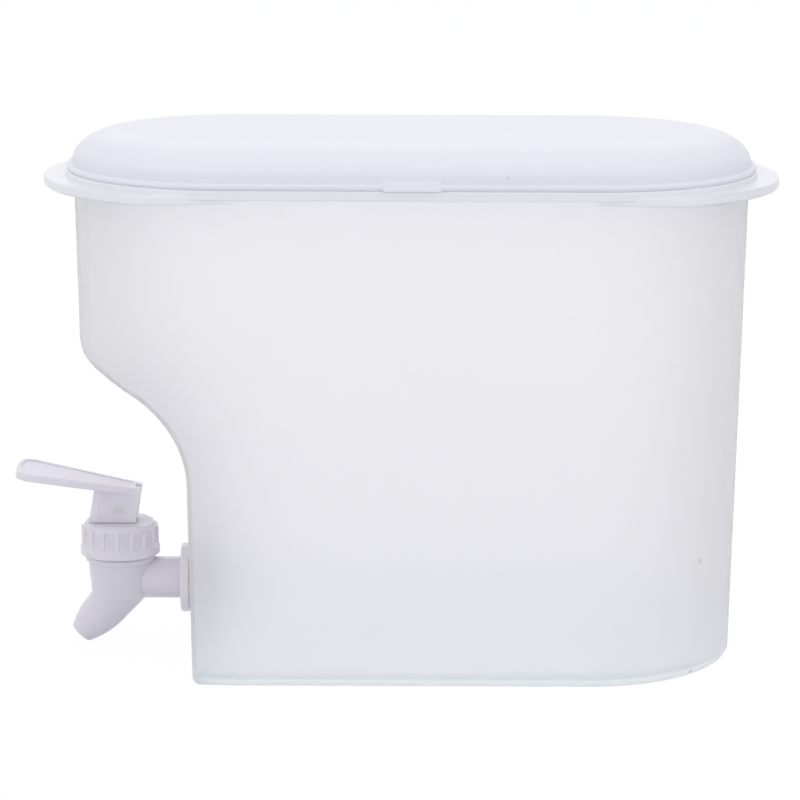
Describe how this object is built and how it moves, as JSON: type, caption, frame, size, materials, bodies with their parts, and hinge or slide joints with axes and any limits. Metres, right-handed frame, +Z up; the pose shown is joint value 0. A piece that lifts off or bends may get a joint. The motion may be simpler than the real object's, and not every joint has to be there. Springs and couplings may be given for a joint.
{
  "type": "fridge water jug with tap",
  "caption": "Long water jug for a fridge shelf, with a soft-edged lid, end ears and a lever tap in a cut-away front.",
  "frame": {"origin": "middle of the flat underside, half way between the centres of the two flange ears", "axes": "+Z up, -X towards the tap, -Y towards the side with the lid's thumb tab"},
  "size_m": [0.2895, 0.1281, 0.2015],
  "materials": {
    "milky_shell": "moulded translucent polypropylene, milky, satin",
    "white_lid": "moulded polyethylene, soft satin",
    "tap_plastic": "moulded polypropylene, semi-gloss",
    "soft_rubber": "moulded silicone, satin",
    "spring_wire": "drawn stainless spring wire"
  },
  "bodies": {
    "root": {"jug_body": "milky_shell", "tap_body": "tap_plastic", "outer_gasket": "soft_rubber", "inner_gasket": "soft_rubber", "lock_nut": "tap_plastic", "bonnet_cap": "tap_plastic", "seat_cup": "soft_rubber", "return_spring": "spring_wire"},
    "lid": {"lid": "white_lid"},
    "lever": {"lever": "tap_plastic"},
    "stem": {"valve_stem": "tap_plastic"}
  },
  "joints": [
    {"name": "lid_lift", "type": "slide", "parent": "root", "child": "lid", "axis": [0, 0, 1], "range_m": [0, 0.15]},
    {"name": "lever_press", "type": "hinge", "parent": "root", "child": "lever", "pos_m": [-0.12311, 0, 0.04965], "axis": [0, -1, 0], "range_deg": [0, 18], "stiffness_Nm_per_rad": 0.034, "springref_deg": -21.2},
    {"name": "stem_lift", "type": "slide", "parent": "root", "child": "stem", "axis": [0, 0, 1], "range_m": [0, 0.00351], "deforming": ["return_spring", "seat_cup"]}
  ],
  "couplings": [
    {"joint": "stem_lift", "follows": "lever_press", "m_per_rad": 0.0111}
  ]
}
